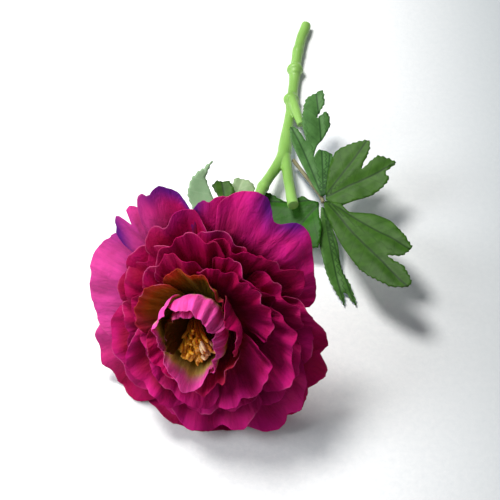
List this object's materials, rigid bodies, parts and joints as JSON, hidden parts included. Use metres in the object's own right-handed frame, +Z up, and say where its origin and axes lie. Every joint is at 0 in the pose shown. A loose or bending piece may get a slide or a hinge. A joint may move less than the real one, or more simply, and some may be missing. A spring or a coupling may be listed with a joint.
{
  "type": "persian buttercup flower",
  "caption": "Artificial Persian buttercup lying on its side: a full ruffled magenta bloom round golden stamens, on a forked green stem with lobed leaves.",
  "frame": {"origin": "on the table under the middle of the flower: the bottom centre of its bounding box", "axes": "+Y runs from the bloom to the stem's cut end, +Z is up from the table the flower lies on, and +X is to the right as seen from above with the bloom nearest"},
  "size_m": [0.131, 0.2332, 0.0796],
  "materials": {
    "petal_silk": "woven cloth, dyed magenta with an orange and olive foot and violet edges",
    "leaf_cloth": "printed woven cloth, green with paler veins and undersides",
    "stem_plastic": "satin moulded plastic, yellow-green",
    "petiole_wire": "plastic-covered wire, brown-green",
    "stamen_plastic": "golden-brown plastic filaments with pale tips"
  },
  "bodies": {
    "root": {"calyx": "stem_plastic", "leaflet_left_a": "leaf_cloth", "leaflet_left_b": "leaf_cloth", "leaflet_left_c": "leaf_cloth", "leaflet_right_a": "leaf_cloth", "leaflet_right_b": "leaf_cloth", "leaflet_right_c": "leaf_cloth", "leaflet_right_d": "leaf_cloth", "leaflet_right_e": "leaf_cloth", "petal_outer_1": "petal_silk", "petal_outer_2": "petal_silk", "petal_outer_3": "petal_silk", "petal_outer_4": "petal_silk", "petal_outer_5": "petal_silk", "petal_outer_6": "petal_silk", "petal_outer_7": "petal_silk", "petal_outer_8": "petal_silk", "petal_outer_9": "petal_silk", "petal_second_1": "petal_silk", "petal_second_2": "petal_silk", "petal_second_3": "petal_silk", "petal_second_4": "petal_silk", "petal_second_5": "petal_silk", "petal_second_6": "petal_silk", "petal_second_7": "petal_silk", "petal_second_8": "petal_silk", "petal_third_1": "petal_silk", "petal_third_2": "petal_silk", "petal_third_3": "petal_silk", "petal_third_4": "petal_silk", "petal_third_5": "petal_silk", "petal_third_6": "petal_silk", "petal_third_7": "petal_silk", "petal_fourth_1": "petal_silk", "petal_fourth_2": "petal_silk", "petal_fourth_3": "petal_silk", "petal_fourth_4": "petal_silk", "petal_fourth_5": "petal_silk", "petal_fourth_6": "petal_silk", "petal_fifth_1": "petal_silk", "petal_fifth_2": "petal_silk", "petal_fifth_3": "petal_silk", "petal_fifth_4": "petal_silk", "petal_fifth_5": "petal_silk", "petal_sixth_1": "petal_silk", "petal_sixth_2": "petal_silk", "petal_sixth_3": "petal_silk", "petal_sixth_4": "petal_silk", "petal_sixth_5": "petal_silk", "petal_bud_1": "petal_silk", "petal_bud_2": "petal_silk", "petal_bud_3": "petal_silk", "petal_bud_4": "petal_silk", "petal_heart_1": "petal_silk", "petal_heart_2": "petal_silk", "petiole_left": "petiole_wire", "petiole_right": "petiole_wire", "receptacle": "stem_plastic", "stamen_cluster": "stamen_plastic", "stem": "stem_plastic"}
  },
  "joints": []
}
